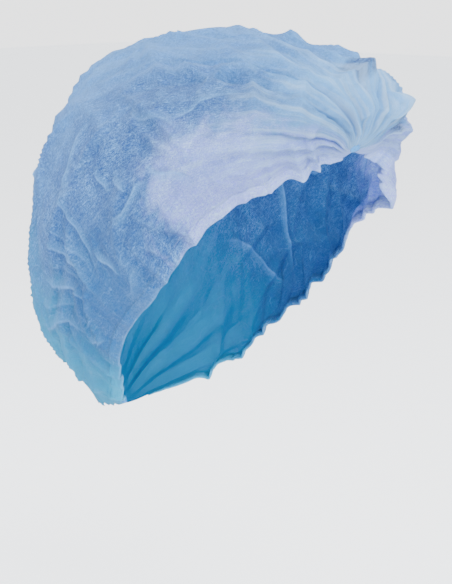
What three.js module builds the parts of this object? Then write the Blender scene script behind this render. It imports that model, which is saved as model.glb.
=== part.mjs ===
// A disposable pleated clip cap in pale blue non-woven cloth, in the puffed-out form that it has on a head.
// One wide sheet is pleated along its length, and both gathered ends are sealed by a weld: one end sits on
// the forehead and the other hangs at the nape. Each side edge is folded into a hem round a flat elastic.
// Millimetres, +Z up, the wearer faces -Y and has their left side at +X. The origin is the middle of the
// head opening, at eye level.
import * as THREE from "three";

// The head opening and the crown above it
const openingLength = 192;
const openingWidth = 154;
const crownLength = 234;
const crownRise = 137;
const napeDrop = 91;
const sidePuff = 22;

// The cloth, its pleats, and the gathers that the elastic draws up
const clothWall = 1;
const clothWidth = 440;
const pleatCount = 12;
const pleatOpening = 0.62;
const pleatSink = 1.6;
const steepestPleat = 0.07;
const closedNear = 0.07;
const flatByHem = 12;
const gatherCount = 11;
const gatherDepth = 1.6;
const gatherReach = 18;
const ruffleReach = 16;

// The hem's channel, its elastic, and the welds
const gap = 0.3;
const elasticWidth = 4;
const elasticThick = 1.2;
const hemHeight = 7;
const hemStart = 0.02;
const weldThick = 4;

// How finely the cloth is faceted
const rowCount = 44;
const facetsPerPleat = 4;
const sectionSteps = 60;
const weldSteps = 6;

const hemThick = 2 * (clothWall + gap) + elasticThick;
const columnCount = pleatCount * facetsPerPleat;

// Sections across the cap, from the forehead's weld (at 0) to the nape's (at 1). Each runs from the hem on
// one side, out to the puff and up over the top. Shares: topBack of half the crown's length, hemBack and
// hemOut of half the opening, puff of sidePuff, puffUp of the section's own height, topUp and hemUp of
// crownRise above the origin and of napeDrop below it. lift is the cloth's angle where it leaves the hem.
const sections = [
  { at: 0.00, topBack: -0.855, topUp: 0.562, hemOut: 0.052, hemBack: -1.000, hemUp: 0.518, puff: 0.11, puffUp: 0.40, lift: 60 },
  { at: 0.04, topBack: -0.915, topUp: 0.620, hemOut: 0.195, hemBack: -0.990, hemUp: 0.485, puff: 0.23, puffUp: 0.38, lift: 60 },
  { at: 0.09, topBack: -0.949, topUp: 0.708, hemOut: 0.364, hemBack: -0.958, hemUp: 0.456, puff: 0.36, puffUp: 0.38, lift: 65 },
  { at: 0.16, topBack: -0.872, topUp: 0.815, hemOut: 0.558, hemBack: -0.865, hemUp: 0.405, puff: 0.45, puffUp: 0.38, lift: 65 },
  { at: 0.25, topBack: -0.667, topUp: 0.905, hemOut: 0.753, hemBack: -0.708, hemUp: 0.335, puff: 0.64, puffUp: 0.38, lift: 65 },
  { at: 0.36, topBack: -0.308, topUp: 0.975, hemOut: 0.896, hemBack: -0.521, hemUp: 0.215, puff: 0.77, puffUp: 0.36, lift: 60 },
  { at: 0.47, topBack: 0.103, topUp: 0.995, hemOut: 0.974, hemBack: -0.330, hemUp: 0.058, puff: 0.82, puffUp: 0.34, lift: 50 },
  { at: 0.58, topBack: 0.510, topUp: 0.915, hemOut: 1.000, hemBack: -0.140, hemUp: -0.165, puff: 0.82, puffUp: 0.33, lift: 45 },
  { at: 0.68, topBack: 0.785, topUp: 0.720, hemOut: 0.961, hemBack: 0.040, hemUp: -0.341, puff: 0.82, puffUp: 0.35, lift: 40 },
  { at: 0.77, topBack: 0.923, topUp: 0.431, hemOut: 0.857, hemBack: 0.180, hemUp: -0.505, puff: 0.91, puffUp: 0.38, lift: 35 },
  { at: 0.85, topBack: 0.991, topUp: 0.109, hemOut: 0.675, hemBack: 0.313, hemUp: -0.681, puff: 1.00, puffUp: 0.42, lift: 30 },
  { at: 0.92, topBack: 1.000, topUp: -0.330, hemOut: 0.442, hemBack: 0.490, hemUp: -0.846, puff: 0.82, puffUp: 0.45, lift: 30 },
  { at: 0.97, topBack: 0.949, topUp: -0.714, hemOut: 0.182, hemBack: 0.677, hemUp: -0.945, puff: 0.36, puffUp: 0.50, lift: 30 },
  { at: 1.00, topBack: 0.880, topUp: -1.000, hemOut: 0.045, hemBack: 0.813, hemUp: -1.000, puff: 0.09, puffUp: 0.50, lift: 60 },
];

// The pleats from the wearer's right side to the left. depth is a share of the depth that the spare cloth
// gives, and lean moves the crest sideways by a share of a pleat.
const pleats = [
  { depth: 0.80, lean: 0.05 },
  { depth: 1.00, lean: -0.08 },
  { depth: 0.75, lean: 0.06 },
  { depth: 0.95, lean: 0.10 },
  { depth: 0.85, lean: -0.05 },
  { depth: 1.00, lean: 0.04 },
  { depth: 0.90, lean: -0.06 },
  { depth: 1.00, lean: 0.08 },
  { depth: 0.80, lean: -0.10 },
  { depth: 0.95, lean: 0.05 },
  { depth: 0.85, lean: -0.04 },
  { depth: 0.90, lean: 0.06 },
];

// Ruffles that stand out where pleats open near the forehead's weld, and dents, which have a negative
// reach. across runs from -1 at the wearer's right hem to 1 at the left, along is a section's place, and
// reach is a share of ruffleReach.
const ruffles = [
  { across: 0.33, along: 0.095, spreadAcross: 0.11, spreadAlong: 0.060, reach: 1.00 },
  { across: 0.24, along: 0.150, spreadAcross: 0.12, spreadAlong: 0.060, reach: 0.35 },
  { across: 0.50, along: 0.130, spreadAcross: 0.12, spreadAlong: 0.090, reach: 0.35 },
  { across: 0.20, along: 0.280, spreadAcross: 0.34, spreadAlong: 0.130, reach: -0.22 },
  { across: 1.00, along: 0.260, spreadAcross: 0.20, spreadAlong: 0.060, reach: 0.45 },
  { across: -0.05, along: 0.420, spreadAcross: 0.14, spreadAlong: 0.080, reach: 0.12 },
];

// The welds: the section that each closes, how far it stays inside that section's edge, and how much of it
// stands on the outer side of the cloth.
const welds = [
  { name: "front_weld", at: 0, inset: gap, outside: 0.35 },
  { name: "nape_weld", at: 1, inset: clothWall + gap, outside: 0.5 },
];

// A column of the section table at any place along the cap, on a smooth curve through its rows.
function between(column, at) {
  const last = sections.length - 1;
  let i = sections.findIndex((row) => row.at > at) - 1;
  if (i < 0) i = last - 1;
  const step = (k) => sections[k + 1].at - sections[k].at;
  const slope = (k) => (sections[k + 1][column] - sections[k][column]) / step(k);
  const inner = (k) => (slope(k - 1) * step(k) + slope(k) * step(k - 1)) / (step(k) + step(k - 1));
  const tangent = (k) => {
    if (k === 0) return 1.5 * slope(0) - 0.5 * inner(1);
    if (k === last) return 1.5 * slope(last - 1) - 0.5 * inner(last - 1);
    return inner(k);
  };
  const t = (at - sections[i].at) / step(i);
  return (
    (2 * t ** 3 - 3 * t ** 2 + 1) * sections[i][column] +
    (t ** 3 - 2 * t ** 2 + t) * step(i) * tangent(i) +
    (3 * t ** 2 - 2 * t ** 3) * sections[i + 1][column] +
    (t ** 3 - t ** 2) * step(i) * tangent(i + 1)
  );
}

const level = (share) => share * (share < 0 ? napeDrop : crownRise);
const smooth = (t) => {
  const c = Math.min(Math.max(t, 0), 1);
  return c * c * (3 - 2 * c);
};

// Half a section as a line of points from the hem on the wearer's left up to the top, with the length
// along it: a Bezier curve from the hem out to the puff, then a quarter of an ellipse over to the top.
const drawn = new Map();
function halfSection(at) {
  if (drawn.has(at)) return drawn.get(at);
  const hem = new THREE.Vector3(
    (openingWidth / 2) * between("hemOut", at),
    (openingLength / 2) * between("hemBack", at),
    level(between("hemUp", at)),
  );
  const top = new THREE.Vector3(0, (crownLength / 2) * between("topBack", at), level(between("topUp", at)));
  const wide = hem.x + sidePuff * between("puff", at);
  const puffUp = between("puffUp", at);
  const lift = THREE.MathUtils.degToRad(between("lift", at));
  const height = Math.hypot(top.y - hem.y, top.z - hem.z);
  const pull = 0.45 * Math.hypot(wide - hem.x, puffUp * height);
  const rise = new THREE.CubicBezierCurve(
    new THREE.Vector2(hem.x, 0),
    new THREE.Vector2(hem.x + pull * Math.cos(lift), pull * Math.sin(lift)),
    new THREE.Vector2(wide, puffUp * height - pull),
    new THREE.Vector2(wide, puffUp * height),
  );
  const place = (x, up) =>
    new THREE.Vector3(x, hem.y + ((top.y - hem.y) * up) / height, hem.z + ((top.z - hem.z) * up) / height);
  const points = [];
  for (let k = 0; k < sectionSteps; k++) {
    const p = rise.getPoint(k / sectionSteps);
    points.push(place(p.x, p.y));
  }
  for (let k = 0; k <= sectionSteps; k++) {
    const turn = (Math.PI / 2) * (k / sectionSteps);
    points.push(place(wide * Math.cos(turn), height * (puffUp + (1 - puffUp) * Math.sin(turn))));
  }
  const lengths = [0];
  for (let k = 1; k < points.length; k++) lengths.push(lengths[k - 1] + points[k].distanceTo(points[k - 1]));
  const made = { points, lengths, total: lengths[lengths.length - 1] };
  drawn.set(at, made);
  return made;
}

// The point at a length along half a section, on the side given by 1 (left) or -1 (right).
function pointAt(at, length, side) {
  const { points, lengths, total } = halfSection(at);
  const s = Math.min(Math.max(length, 0), total);
  let k = lengths.findIndex((l) => l >= s);
  if (k < 1) k = 1;
  const p = points[k - 1].clone().lerp(points[k], (s - lengths[k - 1]) / (lengths[k] - lengths[k - 1]));
  p.x *= side;
  return p;
}

// Where the crown's cloth begins above the hem line. The channel stops short of the welds, and the cloth
// closes down to the hem line there.
const crownStart = (at) => (hemHeight + gap) * smooth(Math.min(at, 1 - at) / hemStart);

// A place on the unpleated crown: column 0 is the right edge and columnCount the left one.
function crownPoint(at, column) {
  const half = columnCount / 2;
  const side = column < half ? -1 : 1;
  const share = 1 - Math.abs(column - half) / half;
  const start = crownStart(at);
  return pointAt(at, start + (halfSection(at).total - start) * share, side);
}

// How far the pleated cloth stands off the unpleated crown. The pleats hold the cloth that the section has
// no room for, lie flat beside the hem, and close up towards the welds.
function foldHeight(at, column) {
  const length = 2 * halfSection(at).total;
  const across = (2 * column) / columnCount - 1;
  const fromHem = ((1 - Math.abs(across)) * length) / 2;
  const spare = Math.sqrt(Math.max(clothWidth ** 2 - length ** 2, 0)) / (4 * pleatCount);
  const closing = smooth(Math.min(at, 1 - at) / closedNear);
  const amplitude = Math.min(pleatOpening * spare, steepestPleat * length) * closing;
  const place = (column / columnCount) * pleatCount;
  const row = pleats[Math.min(Math.floor(place), pleatCount - 1) % pleats.length];
  const phase = place - Math.floor(place);
  const crest = 0.5 + row.lean;
  const wave = phase < crest ? phase / crest : (1 - phase) / (1 - crest);
  const pleat = amplitude * row.depth * (2 * wave - pleatSink) * (1 - Math.exp(-fromHem / flatByHem));
  const gather =
    gatherDepth * Math.sin(2 * Math.PI * gatherCount * at) * Math.exp(-fromHem / gatherReach) * closing;
  const ruffle = ruffles.reduce(
    (sum, r) =>
      sum +
      ruffleReach *
        r.reach *
        Math.max(0, 1 - Math.abs(across - r.across) / r.spreadAcross) *
        Math.max(0, 1 - Math.abs(at - r.along) / r.spreadAlong),
    0,
  );
  return pleat + gather + ruffle;
}

// The direction out of the cloth at a place on the crown.
function outward(at, column) {
  const nudge = 0.004;
  const a = Math.min(Math.max(at, nudge), 1 - nudge);
  const c = Math.min(Math.max(column, 0.25), columnCount - 0.25);
  const along = crownPoint(a + nudge, c).sub(crownPoint(a - nudge, c));
  const across = crownPoint(a, c + 0.25).sub(crownPoint(a, c - 0.25));
  return across.cross(along).normalize();
}

// A closed mesh from lists of points and of triangles.
function solid(points, faces, name, material) {
  const geometry = new THREE.BufferGeometry();
  geometry.setAttribute("position", new THREE.Float32BufferAttribute(points.flatMap((p) => p.toArray()), 3));
  geometry.setIndex(faces.flat());
  geometry.computeVertexNormals();
  const mesh = new THREE.Mesh(geometry, material);
  mesh.name = name;
  return mesh;
}

// The crown: the pleated sheet as an outer and an inner surface, joined round its edge.
function crown(material) {
  const outer = [];
  const inner = [];
  for (let i = 0; i <= rowCount; i++) {
    const at = i / rowCount;
    const columnWidth = (2 * halfSection(at).total) / columnCount;
    for (let j = 0; j <= columnCount; j++) {
      const height = foldHeight(at, j);
      const before = foldHeight(at, Math.max(j - 1, 0));
      const after = foldHeight(at, Math.min(j + 1, columnCount));
      const slope = Math.max(Math.abs(height - before), Math.abs(after - height)) / columnWidth;
      const out = outward(at, j);
      const base = crownPoint(at, j);
      outer.push(base.clone().addScaledVector(out, height));
      inner.push(base.clone().addScaledVector(out, height - clothWall * Math.hypot(1, slope)));
    }
  }
  const wide = columnCount + 1;
  const under = outer.length;
  const faces = [];
  for (let i = 0; i < rowCount; i++) {
    for (let j = 0; j < columnCount; j++) {
      const a = i * wide + j;
      const b = a + 1;
      const c = a + wide + 1;
      const d = a + wide;
      faces.push([a, b, c], [a, c, d], [under + a, under + c, under + b], [under + a, under + d, under + c]);
    }
  }
  const rim = [];
  for (let j = 0; j < columnCount; j++) rim.push(j);
  for (let i = 0; i < rowCount; i++) rim.push(i * wide + columnCount);
  for (let j = columnCount; j > 0; j--) rim.push(rowCount * wide + j);
  for (let i = rowCount; i > 0; i--) rim.push(i * wide);
  rim.forEach((a, k) => {
    const b = rim[(k + 1) % rim.length];
    faces.push([a, under + a, b], [b, under + a, under + b]);
  });
  return solid([...outer, ...inner], faces, "crown", material);
}

// A bar carried along one hem. The outline's x runs up the cloth from the hem line, and its y inwards.
function alongHem(outline, side, name, material) {
  const points = [];
  const first = Math.ceil(hemStart * rowCount);
  const last = rowCount - first;
  for (let i = first; i <= last; i++) {
    const at = i / rowCount;
    const column = side < 0 ? 0 : columnCount;
    const foot = pointAt(at, 0, side);
    const up = pointAt(at, hemHeight, side).sub(foot).normalize();
    const out = outward(at, column);
    foot.addScaledVector(out, foldHeight(at, column));
    out.addScaledVector(up, -out.dot(up)).normalize();
    outline.forEach((p) => points.push(foot.clone().addScaledVector(up, p.x).addScaledVector(out, -p.y)));
  }
  const n = outline.length;
  const faces = [];
  const turned = (face) => (side < 0 ? face : [face[0], face[2], face[1]]);
  for (let i = 0; i < last - first; i++) {
    for (let k = 0; k < n; k++) {
      const a = i * n + k;
      const b = i * n + ((k + 1) % n);
      faces.push(turned([a, b, b + n]), turned([a, b + n, a + n]));
    }
  }
  const end = (last - first) * n;
  THREE.ShapeUtils.triangulateShape(outline, []).forEach(([a, b, c]) => {
    faces.push(turned([a, c, b]), turned([end + a, end + b, end + c]));
  });
  return solid(points, faces, name, material);
}

// The hem: the cloth turned in and up again, which leaves a channel open at its inner top.
function hem(side, name, material) {
  const outline = [
    [0, 0],
    [hemHeight, 0],
    [hemHeight, clothWall],
    [clothWall, clothWall],
    [clothWall, hemThick - clothWall],
    [hemHeight, hemThick - clothWall],
    [hemHeight, hemThick],
    [0, hemThick],
  ].map(([x, y]) => new THREE.Vector2(x, y));
  return alongHem(outline, side, name, material);
}

// The elastic: a flat band that lies in the hem's channel.
function elastic(side, name, material) {
  const near = clothWall + gap;
  const outline = [
    [near, near],
    [near + elasticWidth, near],
    [near + elasticWidth, near + elasticThick],
    [near, near + elasticThick],
  ].map(([x, y]) => new THREE.Vector2(x, y));
  return alongHem(outline, side, name, material);
}

// A weld: the sealed stack of pleat ends, a plate that fills the arch of the cap's end section.
function weld({ name, at, inset, outside }, material) {
  const { total } = halfSection(at);
  const arch = [];
  for (let k = 0; k <= weldSteps; k++) arch.push(pointAt(at, (total * k) / weldSteps, 1));
  for (let k = weldSteps - 1; k >= 0; k--) arch.push(pointAt(at, (total * k) / weldSteps, -1));
  const foot = arch[0].clone().lerp(arch[arch.length - 1], 0.5);
  const up = arch[weldSteps].clone().sub(foot).normalize();
  const side = new THREE.Vector3(1, 0, 0);
  const edge = arch.map((p) => new THREE.Vector2(p.x, p.sub(foot).dot(up)));
  const outline = edge.map((p, k) => {
    const before = edge[(k + edge.length - 1) % edge.length].clone().sub(p).normalize();
    const after = edge[(k + 1) % edge.length].clone().sub(p).normalize();
    const inwards = new THREE.Vector2(before.y - after.y, after.x - before.x).normalize();
    return p.clone().addScaledVector(inwards, inset / Math.abs(inwards.cross(after)));
  });
  const geometry = new THREE.ExtrudeGeometry(new THREE.Shape(outline), { depth: weldThick, bevelEnabled: false });
  geometry.translate(0, 0, -weldThick * outside);
  geometry.applyMatrix4(new THREE.Matrix4().makeBasis(side, up, side.clone().cross(up)).setPosition(foot));
  const mesh = new THREE.Mesh(geometry, material);
  mesh.name = name;
  return mesh;
}

const cloth = new THREE.MeshStandardMaterial({ color: 0x8fb6dd, roughness: 0.85, metalness: 0 });
const hemCloth = new THREE.MeshStandardMaterial({ color: 0x8ab4e0, roughness: 0.85, metalness: 0 });
const rubber = new THREE.MeshStandardMaterial({ color: 0xe9eef2, roughness: 0.7, metalness: 0 });
const sealed = new THREE.MeshStandardMaterial({ color: 0x6fa6d2, roughness: 0.5, metalness: 0 });

const cap = new THREE.Group();
cap.name = "clip_cap";
cap.add(crown(cloth));
cap.add(hem(-1, "hem_right", hemCloth), hem(1, "hem_left", hemCloth));
cap.add(elastic(-1, "elastic_right", rubber), elastic(1, "elastic_left", rubber));
welds.forEach((row) => cap.add(weld(row, sealed)));

export default cap;
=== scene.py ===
import math

import bpy
import numpy as np
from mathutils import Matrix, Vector


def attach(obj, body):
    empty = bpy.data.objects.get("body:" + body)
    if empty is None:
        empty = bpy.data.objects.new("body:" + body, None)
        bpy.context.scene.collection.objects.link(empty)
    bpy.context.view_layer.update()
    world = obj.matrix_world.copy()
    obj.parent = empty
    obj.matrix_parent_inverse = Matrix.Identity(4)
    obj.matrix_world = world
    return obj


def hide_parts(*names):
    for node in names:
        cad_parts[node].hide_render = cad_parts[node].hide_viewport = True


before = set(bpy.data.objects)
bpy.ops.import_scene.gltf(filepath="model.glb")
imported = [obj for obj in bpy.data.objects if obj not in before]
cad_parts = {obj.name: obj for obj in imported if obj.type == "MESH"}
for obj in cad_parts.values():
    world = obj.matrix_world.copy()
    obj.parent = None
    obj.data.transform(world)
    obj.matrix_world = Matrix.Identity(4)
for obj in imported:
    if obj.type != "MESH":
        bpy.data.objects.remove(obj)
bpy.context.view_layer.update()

# The crown: one wide sheet of light blue spunbond, about a fifth of a millimetre thick. It is folded in
# twelve long pleats, and both ends are gathered into a weld, so that it puffs out between them.
OPENING_LENGTH = 0.192
OPENING_WIDTH = 0.154
CROWN_LENGTH = 0.234
CROWN_RISE = 0.137
NAPE_DROP = 0.091
SIDE_PUFF = 0.022
CLOTH_WIDTH = 0.440
CLOTH_LENGTH = 0.450
CLOTH_THICK = 0.0002
HEM_HEIGHT = 0.007
HEM_START = 0.02
HEM_GROWN = 0.055
SEAM_GAP = 0.0003

# Columns: at, topBack, topUp, hemOut, hemBack, hemUp, puff, puffUp, lift in degrees. The shares are of half
# the crown's length, of the rise or the drop, of half the opening, of the puff and of the section's height.
SECTION_ROWS = np.array([
    [0.00, -0.855, 0.562, 0.052, -1.000, 0.518, 0.11, 0.40, 60],
    [0.04, -0.915, 0.620, 0.195, -0.990, 0.485, 0.23, 0.38, 60],
    [0.09, -0.949, 0.708, 0.364, -0.958, 0.456, 0.36, 0.38, 65],
    [0.16, -0.872, 0.815, 0.558, -0.865, 0.405, 0.45, 0.38, 65],
    [0.25, -0.667, 0.905, 0.753, -0.708, 0.335, 0.64, 0.38, 65],
    [0.36, -0.308, 0.975, 0.896, -0.521, 0.215, 0.77, 0.36, 60],
    [0.47, 0.103, 0.995, 0.974, -0.330, 0.058, 0.82, 0.34, 50],
    [0.58, 0.510, 0.915, 1.000, -0.140, -0.165, 0.82, 0.33, 45],
    [0.68, 0.785, 0.720, 0.961, 0.040, -0.341, 0.82, 0.35, 40],
    [0.77, 0.923, 0.431, 0.857, 0.180, -0.505, 0.91, 0.38, 35],
    [0.85, 0.991, 0.109, 0.675, 0.313, -0.681, 1.00, 0.42, 30],
    [0.92, 1.000, -0.330, 0.442, 0.490, -0.846, 0.82, 0.45, 30],
    [0.97, 0.949, -0.714, 0.182, 0.677, -0.945, 0.36, 0.50, 30],
    [1.00, 0.880, -1.000, 0.045, 0.813, -1.000, 0.09, 0.50, 60],
])

# Columns: depth of the pleat as a share, lean of its crest as a share of its width, and relative width.
PLEAT_ROWS = np.array([
    [0.60, 0.05, 1.10],
    [1.00, -0.12, 0.70],
    [0.55, 0.10, 1.35],
    [0.95, 0.14, 0.80],
    [0.70, -0.10, 1.15],
    [1.00, 0.08, 0.75],
    [0.75, -0.06, 1.05],
    [1.00, 0.15, 0.70],
    [0.60, -0.14, 1.30],
    [0.95, 0.08, 0.85],
    [0.65, -0.06, 1.20],
    [0.90, 0.10, 0.90],
])
PLEAT_OPENING = 0.62
PLEAT_SINK = 1.6
STEEPEST_PLEAT = 0.06
PLEAT_CLOSED_NEAR = 0.045
PLEAT_IN_MIDDLE = 0.68
PLEAT_FADE = 0.13
CREST_ROUND = 0.10

# Columns: across, along, spread across, spread along, reach as a share of RUFFLE_REACH.
RUFFLE_ROWS = np.array([
    [0.35, 0.110, 0.055, 0.038, 0.64],
    [0.33, 0.095, 0.120, 0.075, 0.30],
    [0.10, 0.185, 0.140, 0.050, 0.46],
    [0.15, 0.165, 0.100, 0.040, 0.30],
    [0.26, 0.140, 0.050, 0.035, -0.24],
    [0.50, 0.130, 0.120, 0.090, 0.30],
    [0.20, 0.280, 0.340, 0.130, -0.06],
    [1.00, 0.260, 0.200, 0.060, 0.45],
    [1.00, 0.315, 0.300, 0.055, 0.80],
    [-0.05, 0.420, 0.140, 0.080, 0.10],
    [0.05, 0.250, 0.060, 0.120, 0.20],
    [-0.12, 0.340, 0.050, 0.150, 0.14],
    [0.00, 0.955, 0.900, 0.045, 0.42],
])
RUFFLE_REACH = 0.016

# The sharp creases: across and along at the start and at the end, half the width in metres, and height.
CREASE_ROWS = np.array([
    [-0.78, 0.420, -0.78, 0.530, 0.0030, 0.9],
    [-0.63, 0.545, -0.72, 0.525, 0.0030, 0.9],
    [-0.67, 0.510, -0.77, 0.478, 0.0030, 0.8],
    [-0.58, 0.700, -0.90, 0.630, 0.0030, 0.4],
    [-0.58, 0.725, -0.92, 0.652, 0.0035, 0.9],
    [-0.60, 0.765, -0.90, 0.672, 0.0030, 0.4],
    [-0.62, 0.800, -0.93, 0.690, 0.0035, 0.8],
    [-0.60, 0.845, -0.93, 0.735, 0.0030, 0.4],
    [-0.80, 0.605, -0.93, 0.560, 0.0030, 0.9],
    [-0.95, 0.510, -0.96, 0.595, 0.0030, 0.4],
    [-0.58, 0.885, -0.93, 0.775, 0.0035, 0.8],
    [-0.92, 0.777, -0.99, 0.740, 0.0030, 0.8],
    [-0.55, 0.640, -0.88, 0.622, 0.0030, 0.7],
    [-0.48, 0.560, -0.60, 0.650, 0.0035, 0.8],
    [-0.86, 0.330, -0.70, 0.430, 0.0035, 0.7],
    [-0.50, 0.470, -0.66, 0.360, 0.0030, 0.6],
    [-0.58, 0.400, -0.52, 0.270, 0.0030, 0.7],
    [0.62, 0.300, 0.90, 0.420, 0.0035, 1.0],
    [0.55, 0.620, 0.92, 0.700, 0.0035, 1.2],
    [0.60, 0.800, 0.90, 0.730, 0.0035, 1.0],
    [0.35, 0.500, 0.60, 0.580, 0.0035, 0.9],
    [0.10, 0.600, 0.30, 0.700, 0.0035, 0.8],
    [-0.20, 0.700, -0.40, 0.800, 0.0035, 0.9],
    [0.70, 0.520, 0.66, 0.640, 0.0030, 0.8],
])
CREASE_HEIGHT = 0.0013
CREASE_BOW = 0.06
HALF_ACROSS = 0.165


def along_rows(rows, at):
    """Each column of the rows at every place in at: a cubic curve through the rows, whose slope at a row is
    the mean of its neighbours' slopes weighted by the nearer one."""
    x, y = rows[:, 0], rows[:, 1:]
    step = np.diff(x)[:, None]
    slope = np.diff(y, axis=0) / step
    inner = (slope[:-1] * step[1:] + slope[1:] * step[:-1]) / (step[1:] + step[:-1])
    tangent = np.vstack([1.5 * slope[0] - 0.5 * inner[0], inner, 1.5 * slope[-1] - 0.5 * inner[-1]])
    i = np.clip(np.searchsorted(x, at, side="right") - 1, 0, len(x) - 2)
    t = ((at - x[i]) / np.diff(x)[i])[:, None]
    return (
        (2 * t**3 - 3 * t**2 + 1) * y[i]
        + (t**3 - 2 * t**2 + t) * step[i] * tangent[i]
        + (3 * t**2 - 2 * t**3) * y[i + 1]
        + (t**3 - t**2) * step[i] * tangent[i + 1]
    )


def smooth(t):
    """0 below 0, 1 above 1, and an S-shaped curve between."""
    t = np.clip(t, 0, 1)
    return t * t * (3 - 2 * t)


def level(share):
    """A height in metres from a share of the crown's rise, or of its drop where the share is below 0."""
    return share * np.where(share < 0, NAPE_DROP, CROWN_RISE)


def bezier(t, first, second, third, last):
    """A cubic Bezier curve at t from its two ends and the two points between that pull it."""
    back = 1 - t
    return back**3 * first + 3 * back**2 * t * second + 3 * back * t**2 * third + t**3 * last


HALF_STEPS = 60
BEZIER_PULL = 0.45


def half_sections(at):
    """Half of the section at each place in at: a Bezier curve from the hem out to the puff, then a quarter
    of an ellipse up to the top. Returns the points, and the length along each section."""
    values = along_rows(SECTION_ROWS, at).T[..., None]
    top_back, top_up, hem_out, hem_back, hem_up, puff, puff_up, lift = values
    hem_x = OPENING_WIDTH / 2 * hem_out
    hem_y = OPENING_LENGTH / 2 * hem_back
    hem_z = level(hem_up)
    top_y = CROWN_LENGTH / 2 * top_back
    top_z = level(top_up)
    wide = hem_x + SIDE_PUFF * puff
    height = np.hypot(top_y - hem_y, top_z - hem_z)
    pull = BEZIER_PULL * np.hypot(wide - hem_x, puff_up * height)
    angle = np.radians(lift)
    t = np.arange(HALF_STEPS) / HALF_STEPS
    rise_x = bezier(t, hem_x, hem_x + pull * np.cos(angle), wide, wide)
    rise_up = bezier(t, 0, pull * np.sin(angle), puff_up * height - pull, puff_up * height)
    turn = np.pi / 2 * np.arange(HALF_STEPS + 1) / HALF_STEPS
    x = np.hstack([rise_x, wide * np.cos(turn)])
    up = np.hstack([rise_up, height * (puff_up + (1 - puff_up) * np.sin(turn))]) / height
    points = np.stack([x, hem_y + (top_y - hem_y) * up, hem_z + (top_z - hem_z) * up], axis=-1)
    pieces = np.linalg.norm(np.diff(points, axis=1), axis=-1)
    return points, np.hstack([np.zeros((len(at), 1)), np.cumsum(pieces, axis=1)])


def on_sections(at, length):
    """Points at the given lengths along the half sections: a row of length for each place in at. Every row
    is looked up in one go, set apart from the next by its own number."""
    points, lengths = half_sections(at)
    total = lengths[:, -1:]
    apart = 2 * np.arange(len(at))[:, None]
    places = (np.clip(length / total, 0, 1) + apart).ravel()
    known = (lengths / total + apart).ravel()
    found = [np.interp(places, known, points[..., axis].ravel()) for axis in range(3)]
    return np.stack(found, axis=-1).reshape(length.shape + (3,)), total


# The crumple lines: the spread of their wavelengths, how far they wander in radians, and the pitches of
# their wandering and fading as shares of their own pitch.
CRUMPLE_SPREAD = (0.6, 1.7)
CRUMPLE_WANDER = 0.7
WANDER_PITCH = 0.43
FADE_PITCH = 0.71


def creases(x, y, seed, wavelength, count, sharpness):
    """Crumple lines, from 0 to 1: the highest of some folded sine waves in random directions. Each wanders
    sideways and fades in and out along its line."""
    rng = np.random.default_rng(seed)
    turn = rng.uniform(0, np.pi, count)
    shift, fade_shift = rng.uniform(0, 2 * np.pi, (2, count))
    pitch = 2 * np.pi / (wavelength * rng.uniform(*CRUMPLE_SPREAD, count))
    ahead = (np.cos(turn) * x[..., None] + np.sin(turn) * y[..., None]) * pitch
    beside = (np.cos(turn) * y[..., None] - np.sin(turn) * x[..., None]) * pitch
    wander = CRUMPLE_WANDER * np.sin(WANDER_PITCH * beside + fade_shift)
    line = 1 - np.abs(np.sin(ahead / 2 + shift + wander))
    fade = (1 + np.sin(FADE_PITCH * beside + fade_shift)) / 2
    return (line**sharpness * fade).max(axis=-1)


CREASE_REACH = 2
CREASE_POWER = 1.5


def sharp_creases(at, across):
    """The creases of CREASE_ROWS: each is a ridge along a slightly bowed line, which falls off evenly to
    both sides and fades towards its ends. Returns the highest ridge's height and strength at every place,
    and the place's signed distance from its line as a share of the ridge's half width."""
    place = np.stack(np.broadcast_arrays(across * HALF_ACROSS, at * CLOTH_LENGTH), axis=-1)
    strength, aside = [], []
    for row in CREASE_ROWS:
        start, end = row[:4].reshape(2, 2) * [HALF_ACROSS, CLOTH_LENGTH]
        half_width, height = row[4:]
        run = end - start
        span = np.linalg.norm(run)
        share = (place - start) @ run / span**2
        bow = CREASE_BOW * span * np.sin(2 * np.pi * share)
        distance = ((place - start) @ np.array([-run[1], run[0]]) / span + bow) / half_width
        along_line = smooth(4 * share * (1 - share))
        aside.append(distance)
        strength.append(height * along_line * smooth(CREASE_REACH - np.abs(distance)))
    strength, aside = np.array(strength), np.array(aside)
    highest = strength.argmax(axis=0)[None]
    strength = np.take_along_axis(strength, highest, axis=0)[0]
    aside = np.take_along_axis(aside, highest, axis=0)[0]
    ridge = strength * np.maximum(0, 1 - np.abs(aside) / CREASE_REACH) ** CREASE_POWER
    return ridge, strength, np.clip(aside, -CREASE_REACH, CREASE_REACH)


def near_hem(across, length, reach):
    """1 at the hem, and an exponential fall up the cloth: reach takes it to about a third."""
    return np.exp(-(1 - np.abs(across)) * length / 2 / reach)


# How the pleats' edges, crests and depths change along the cloth: sizes as shares of the half width, of the
# pleat and of its depth, waves in radians from end to end, and turns in radians from pleat to pleat.
EDGE_SWAY = 0.035
EDGE_TURN = 3
CREST_SWAY = 0.08
CREST_TURN = 2.4
SWAY_WAVES = 9
DEPTH_MEAN = 0.75
DEPTH_CHANGE = 0.35
DEPTH_WAVES = 8
DEPTH_TURN = 1.9
CREST_POWER = 1.35
PLEAT_FLAT_NEAR = 0.012


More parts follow.
